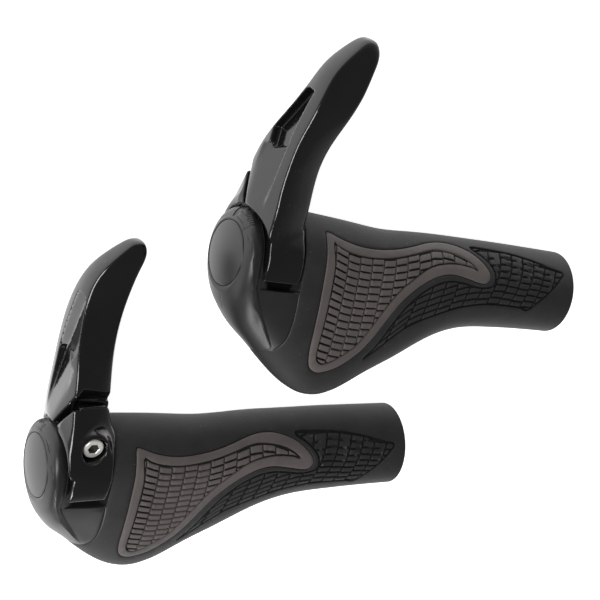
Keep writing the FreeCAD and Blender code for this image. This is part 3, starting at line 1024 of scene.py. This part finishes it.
def crossings(value):
    """For each cell, the sum of the places where the surface crosses its edges, and their number."""
    shape = tuple(n - 1 for n in value.shape)
    total = np.zeros(shape + (3,))
    count = np.zeros(shape)
    for a, b in CUBE_EDGES:
        start, end = (np.array([(corner >> k) & 1 for k in range(3)]) for corner in (a, b))
        va, vb = (value[tuple(slice(o, o + n) for o, n in zip(corner, shape))] for corner in (start, end))
        crossed = (va < 0) != (vb < 0)
        share = np.where(crossed, va / np.where(crossed, va - vb, 1), 0)
        total += np.where(crossed[..., None], start + share[..., None] * (end - start), 0)
        count += crossed
    return total, count


def quads_along(k, inside, index):
    """The faces across the grid's edges along axis k, each joining the four cells round its edge."""
    first = [slice(1, n) for n in index.shape]
    second = list(first)
    first[k] = slice(0, index.shape[k])
    second[k] = slice(1, index.shape[k] + 1)
    a, b = inside[tuple(first)], inside[tuple(second)]
    base = np.argwhere(a != b)
    flip = a[tuple(base.T)]
    across = [m for m in range(3) if m != k]
    base[:, across] += 1
    corners = []
    for back in ((0, 0), (1, 0), (1, 1), (0, 1)):
        cell = base.copy()
        cell[:, across] -= back
        corners.append(index[tuple(cell.T)])
    quad = np.stack(corners, 1)
    quad[flip] = quad[flip][:, ::-1]
    return quad


def pull(field, points, limit, probe=0.02, least_slope=0.3):
    """How far each point is to move back to the field's zero surface, at most the limit."""
    value = field(*points.T)
    slope = np.stack([field(*(points + step).T) - field(*(points - step).T) for step in probe * np.eye(3)], 1)
    slope = slope / (2 * probe)
    size = np.maximum((slope ** 2).sum(1, keepdims=True), least_slope)
    move = value[:, None] * slope / size
    length = np.maximum(np.linalg.norm(move, axis=1, keepdims=True), 1e-9)
    return move * np.minimum(1, limit / length)


def horn_mesh():
    """The bar end. The pocket's wall on the solid side has the second material, a grey coat of painted light.
    """
    points, quads = surface_net(horn_field, *HORN_BOX, VOXEL)
    bm = bmesh.new()
    verts = [bm.verts.new(p) for p in points]
    for q in quads:
        bm.faces.new([verts[i] for i in q])
    bmesh.ops.recalc_face_normals(bm, faces=bm.faces)
    u, v, w = np.array([f.calc_center_median() for f in bm.faces]).T
    h, t = leaned(v, w)
    # the faces of the pocket's solid-side wall, which get the grey coat of painted light
    painted_light_plate = (np.abs(horn_pocket(u, h, t)) < PAINTED_LIGHT_PLATE[0]) & (np.abs(t - POCKET_WALL) < PAINTED_LIGHT_PLATE[1])
    for face, on_painted_light_plate in zip(bm.faces, painted_light_plate):
        face.material_index = int(on_painted_light_plate)
    return finish_mesh(bm, "horn", 50.0)


def bolt_mesh():
    """A socket-head screw: chamfered head, hex socket, shank. The socket has the second material, a dark
    steel that paints the shade inside it.
    """
    top = HEAD_SEAT + HEAD_LENGTH
    tip = HEAD_SEAT - BOLT_LENGTH
    bm = bmesh.new()
    angles = [2 * math.pi * i / BOLT_ROUND for i in range(BOLT_ROUND)]

    def loop(radii, w):
        return [bm.verts.new((BOLT[0] + r * math.cos(a), BOLT[1] + r * math.sin(a), w))
                for r, a in zip(radii, angles)]

    def ring(radius, w):
        return loop([radius] * BOLT_ROUND, w)

    def hexagon(size, w):
        flat = size * math.cos(math.pi / 6)
        return loop([flat / math.cos((a % (math.pi / 3)) - math.pi / 6) for a in angles], w)

    rings = [ring(SHANK_R - 0.5, tip), ring(SHANK_R, tip + 0.6), ring(SHANK_R, HEAD_SEAT),
             ring(HEAD_R - 0.15, HEAD_SEAT), ring(HEAD_R, HEAD_SEAT + 0.2), ring(HEAD_R, top - 0.55),
             ring(HEAD_R - 0.12, top - 0.3), ring(HEAD_R - 0.55, top),
             hexagon(HEX_R + 0.25, top), hexagon(HEX_R, top - 0.25), hexagon(HEX_R, top - HEX_DEPTH)]
    for a, b in zip(rings, rings[1:]):
        for i in range(BOLT_ROUND):
            j = (i + 1) % BOLT_ROUND
            bm.faces.new((a[i], a[j], b[j], b[i])).material_index = int(b is rings[-1])
    bm.faces.new(rings[0][::-1])
    floor = bm.verts.new((*BOLT, top - HEX_DEPTH - HEX_CONE))
    for i in range(BOLT_ROUND):
        bm.faces.new((rings[-1][i], rings[-1][(i + 1) % BOLT_ROUND], floor)).material_index = 1
    return finish_mesh(bm, "bolt", 25.0)


# --- materials ---
class Look:
    """A Principled material and a short way to add nodes to it."""

    def __init__(self, name):
        self.material = bpy.data.materials.new(name)
        self.material.use_nodes = True
        self.tree = self.material.node_tree
        self.shader = self.tree.nodes["Principled BSDF"]
        self.coords = self.tree.nodes.new("ShaderNodeTexCoord")

    def node(self, kind, inputs=(), **settings):
        made = self.tree.nodes.new(kind)
        for key, value in settings.items():
            setattr(made, key, value)
        for key, value in dict(inputs).items():
            if hasattr(value, "is_output"):
                self.tree.links.new(value, made.inputs[key])
            else:
                made.inputs[key].default_value = value
        return made

    def set(self, **values):
        for key, value in values.items():
            socket = self.shader.inputs[key.replace("_", " ")]
            if hasattr(value, "is_output"):
                self.tree.links.new(value, socket)
            else:
                socket.default_value = value

    def noise(self, scale, detail=3.0, roughness=0.55):
        made = self.node("ShaderNodeTexNoise", {"Vector": self.coords.outputs["Object"], "Scale": scale,
                                                "Detail": detail, "Roughness": roughness})
        return made.outputs["Fac"]

    def ramp(self, factor, stops):
        made = self.node("ShaderNodeValToRGB", {"Fac": factor})
        while len(made.color_ramp.elements) < len(stops):
            made.color_ramp.elements.new(0.5)
        for element, (place, color) in zip(made.color_ramp.elements, stops):
            element.position = place
            element.color = tuple(color) + (1.0,)
        return made.outputs["Color"]

    def bump(self, height, strength, distance, normal=None):
        inputs = {"Height": height, "Strength": strength, "Distance": distance}
        if normal is not None:
            inputs["Normal"] = normal
        return self.node("ShaderNodeBump", inputs).outputs["Normal"]


def grey(value):
    return (value, value, value)


def rubber(name, dark, light, roughness=0.62):
    """Matt rubber with a fine grain and a few specks of dust."""
    look = Look(name)
    tone = look.ramp(look.noise(90.0, 4.0), ((0.35, dark), (0.65, light)))
    specks = look.ramp(look.noise(1500.0, 1.0), ((0.76, grey(0.0)), (0.80, grey(1.0))))
    dusty = look.node("ShaderNodeMix", {"Factor": specks, "A": tone, "B": DUST}, data_type="RGBA")
    grain = look.bump(look.noise(2600.0, 2.0), 0.22, 0.0002)
    soft = look.bump(look.noise(160.0, 2.0), 0.10, 0.0006, grain)
    look.set(Base_Color=dusty.outputs["Result"], Roughness=roughness, Normal=soft, Specular_IOR_Level=0.42)
    return look.material


def plastic(name, dark, light, roughness):
    """Moulded plastic with a fine grain."""
    look = Look(name)
    tone = look.ramp(look.noise(60.0, 3.0), ((0.35, dark), (0.65, light)))
    grain = look.bump(look.noise(3200.0, 2.0), 0.10, 0.00012)
    look.set(Base_Color=tone, Roughness=roughness, Normal=grain)
    return look.material


def paint(name, dark, light, roughness, coat):
    """Paint over a slightly wavy casting with a few pits."""
    look = Look(name)
    tone = look.ramp(look.noise(40.0, 2.0), ((0.3, grey(dark)), (0.7, grey(light))))
    wavy = look.bump(look.noise(170.0, 2.5), 0.16, 0.0006)
    pits = look.ramp(look.noise(620.0, 1.0), ((0.70, grey(0.0)), (0.78, grey(1.0))))
    pitted = look.bump(pits, 0.25, 0.00025, wavy)
    look.set(Base_Color=tone, Roughness=roughness, Normal=pitted, Specular_IOR_Level=0.5,
             Coat_Weight=coat, Coat_Roughness=0.05)
    return look.material


def steel(name, dark, light, metallic):
    """Steel with a fine, even grain."""
    look = Look(name)
    tone = look.ramp(look.noise(300.0, 3.0), ((0.3, dark), (0.7, light)))
    grain = look.bump(look.noise(1800.0, 2.0), 0.12, 0.0001)
    look.set(Base_Color=tone, Metallic=metallic, Roughness=0.32, Normal=grain)
    return look.material


def floor_look():
    look = Look("pale_floor")
    tone = look.ramp(look.noise(3.0, 2.0), ((0.3, grey(0.90)), (0.7, grey(0.93))))
    look.set(Base_Color=tone, Roughness=0.9, Emission_Color=(1.0, 1.0, 1.0, 1.0),
             Emission_Strength=FLOOR_GLOW)
    return look.material


def make_looks():
    """Each slot's material, and the second material of the pieces that have one."""
    first = {
        "black_rubber": rubber("black_rubber", (0.0135, 0.0128, 0.0138), (0.019, 0.0182, 0.0195)),
        "grey_rubber": rubber("grey_rubber", (0.088, 0.076, 0.072), (0.104, 0.090, 0.085), 0.6),
        "black_plastic": plastic("black_plastic", (0.012, 0.0118, 0.0128), (0.017, 0.0167, 0.018), 0.38),
        "cap_plastic": plastic("cap_plastic", (0.0095, 0.009, 0.010), (0.013, 0.0125, 0.0138), 0.36),
        "gloss_black_paint": paint("gloss_black_paint", 0.0045, 0.0065, 0.13, 0.15),
        "stainless_steel": steel("stainless_steel", (0.80, 0.78, 0.74), (0.92, 0.91, 0.88), 0.55),
    }
    second = {
        # near-black rubber for the faces down in the pads' grooves: painted shade, as the grooves are the
        # same rubber as the pads
        "groove_painted_shade": rubber("black_rubber_painted_groove_shade", (0.0035, 0.0034, 0.0036), (0.005, 0.0049, 0.0051), 0.8),
        # rougher coat for the pocket's solid-side wall: its roughness is the wall's own, and its grey colour
        # is painted light for the overhead light this up-facing wall catches
        "pocket_painted_light": paint("pocket_wall_painted_light", 0.20, 0.30, 0.45, 0.0),
        # dark steel for the inside of the hex socket: painted shade, as the socket is the same steel as the
        # head
        "socket": steel("steel_painted_socket_shade", (0.050, 0.042, 0.036), (0.090, 0.078, 0.068), 0.1),
    }
    return first, second


# --- pieces ---
# each visible piece of a grip: its mesh, its name, its body, the CAD node it stands for, its slot, and its
# second material if it has one
PIECES = (
    ("sleeve", "sleeve_skin", "grip", "grip_sleeve", "black_rubber", "groove_painted_shade"),
    ("sleeve_end", "sleeve_end", "grip", None, "black_rubber", None),
    ("inlay", "inlay_bolt", "grip", "inlay_bolt_side", "grey_rubber", "groove_painted_shade"),
    ("inlay_far", "inlay_plain", "grip", "inlay_plain_side", "grey_rubber", "groove_painted_shade"),
    ("panel", "panel", "grip", None, "black_plastic", None),
    ("flange", "flange", "grip", "end_housing", "black_plastic", None),
    ("plug", "cap", "plug", "end_plug", "cap_plastic", None),
    ("horn", "bar_end", "horn", "horn", "gloss_black_paint", "pocket_painted_light"),
    ("bolt", "screw", "bolt", "clamp_bolt", "stainless_steel", "socket"),
)
TURNS_WITH_HORN = ("horn", "bolt")
# the CAD nodes that are kept, and their materials
CARRIED = {"core_tube": "black_plastic", "palm_support": "black_plastic", "thread_insert": "stainless_steel"}


def build_meshes():
    """Every piece's mesh in the right grip's own frame."""
    body, front = Skin(BODY), Skin(FRONT)
    black_half, grey_half = rubber_parts(body, GreyPads(), BlackPads())
    meshes = {
        "sleeve": sleeve_mesh(*black_half),
        "sleeve_end": sleeve_end_mesh(body),
        "inlay": inlay_mesh(*grey_half),
        "panel": panel_mesh(body),
        "flange": flange_mesh(front, body),
        "plug": plug_mesh(),
        "horn": horn_mesh(),
        "bolt": bolt_mesh(),
    }
    far = meshes["inlay"].copy()
    far.transform(Matrix.Diagonal((1, 1, -1, 1)))
    far.flip_normals()
    meshes["inlay_far"] = far
    return meshes


def frame_of(hand, joints):
    """The matrix that takes a grip's own millimetres to its place on the table."""
    pose = POSES[hand]
    yaw, pitch, roll = (math.radians(a) for a in pose["turn"])
    turn = Matrix.Rotation(yaw, 4, "Z") @ Matrix.Rotation(pitch, 4, "Y") @ Matrix.Rotation(roll, 4, "X")
    hinge = Vector(joints[hand + "_horn_turn"]["pos_m"])
    place = hinge - turn @ (Vector((HINGE_U, 0, 0)) * MM)
    mirror = Matrix.Diagonal((1, 1, pose["side"], 1))
    return Matrix.Translation(place) @ turn @ Matrix.Scale(MM, 4) @ mirror


def add(mesh, name, matrix, body, materials):
    """A copy of the mesh, placed, coloured and tied to its body."""
    mesh = mesh.copy()
    mesh.transform(matrix)
    if matrix.determinant() < 0:
        mesh.flip_normals()
    mesh.name = name
    for material in materials:
        mesh.materials.append(material)
    piece = bpy.data.objects.new(name, mesh)
    bpy.context.scene.collection.objects.link(piece)
    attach(piece, body)
    return piece


def add_grip(hand, place, meshes, looks, nodes):
    """One grip's pieces, and the materials of its CAD nodes that are kept."""
    first, second = looks
    turn = Matrix.Rotation(math.radians(POSES[hand]["horn"]), 4, "X")
    for mesh, name, body, node, slot, extra in PIECES:
        matrix = place @ turn if mesh in TURNS_WITH_HORN else place
        materials = [first[slot]] + ([second[extra]] if extra else [])
        piece = add(meshes[mesh], f"{hand}_{name}", matrix, f"{hand}_{body}", materials)
        if node:
            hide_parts(f"{hand}_{node}")
    for node, slot in CARRIED.items():
        mesh = nodes[f"{hand}_{node}"].data
        mesh.materials.clear()
        mesh.materials.append(first[slot])


# --- stage ---
def add_floor():
    bpy.ops.mesh.primitive_plane_add(size=FLOOR_SIZE, location=(0, 0, 0))
    floor = bpy.context.object
    floor.name = "floor"
    floor.data.materials.append(floor_look())


def add_sky():
    """A light tent: brighter near the floor than overhead."""
    world = bpy.data.worlds.new("studio")
    bpy.context.scene.world = world
    world.use_nodes = True
    tree = world.node_tree
    height = tree.nodes.new("ShaderNodeSeparateXYZ")
    tree.links.new(tree.nodes.new("ShaderNodeTexCoord").outputs["Generated"], height.inputs[0])
    tent = tree.nodes.new("ShaderNodeValToRGB")
    tree.links.new(height.outputs["Z"], tent.inputs["Fac"])
    for element, (place, colour) in zip(tent.color_ramp.elements, (TENT_LOW, TENT_HIGH)):
        element.position = place
        element.color = colour
    tree.links.new(tent.outputs["Color"], tree.nodes["Background"].inputs["Color"])


def add_lamps():
    for name, place, (wide, tall), power in LAMPS:
        data = bpy.data.lights.new(name, "AREA")
        data.shape = "RECTANGLE"
        data.size, data.size_y = wide, tall
        data.energy = power
        lamp = bpy.data.objects.new(name, data)
        lamp.location = place
        lamp.rotation_euler = (Vector(LAMP_AIM) - Vector(place)).to_track_quat("-Z", "Y").to_euler()
        bpy.context.scene.collection.objects.link(lamp)


def add_camera(hinge):
    data = bpy.data.cameras.new("camera")
    data.lens = LENS
    data.sensor_width = 36.0
    data.clip_start, data.clip_end = 0.05, 30.0
    camera = bpy.data.objects.new("camera", data)
    back = -Vector(CAMERA_AIM).normalized()
    right = Vector(CAMERA_UP).cross(back).normalized()
    up = back.cross(right)
    place = Vector(hinge) + Vector(CAMERA_FROM_HINGE) * MM
    camera.matrix_world = Matrix.Translation(place) @ Matrix((right, up, back)).transposed().to_4x4()
    bpy.context.scene.collection.objects.link(camera)
    bpy.context.scene.camera = camera
    bpy.context.scene.view_settings.view_transform = "Standard"


def main():
    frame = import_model()
    joints = {j["name"]: j for j in frame["joints"]}
    looks = make_looks()
    meshes = build_meshes()
    for hand in POSES:
        add_grip(hand, frame_of(hand, joints), meshes, looks, frame["nodes"])
    add_floor()
    add_sky()
    add_lamps()
    add_camera(joints["right_horn_turn"]["pos_m"])


main()
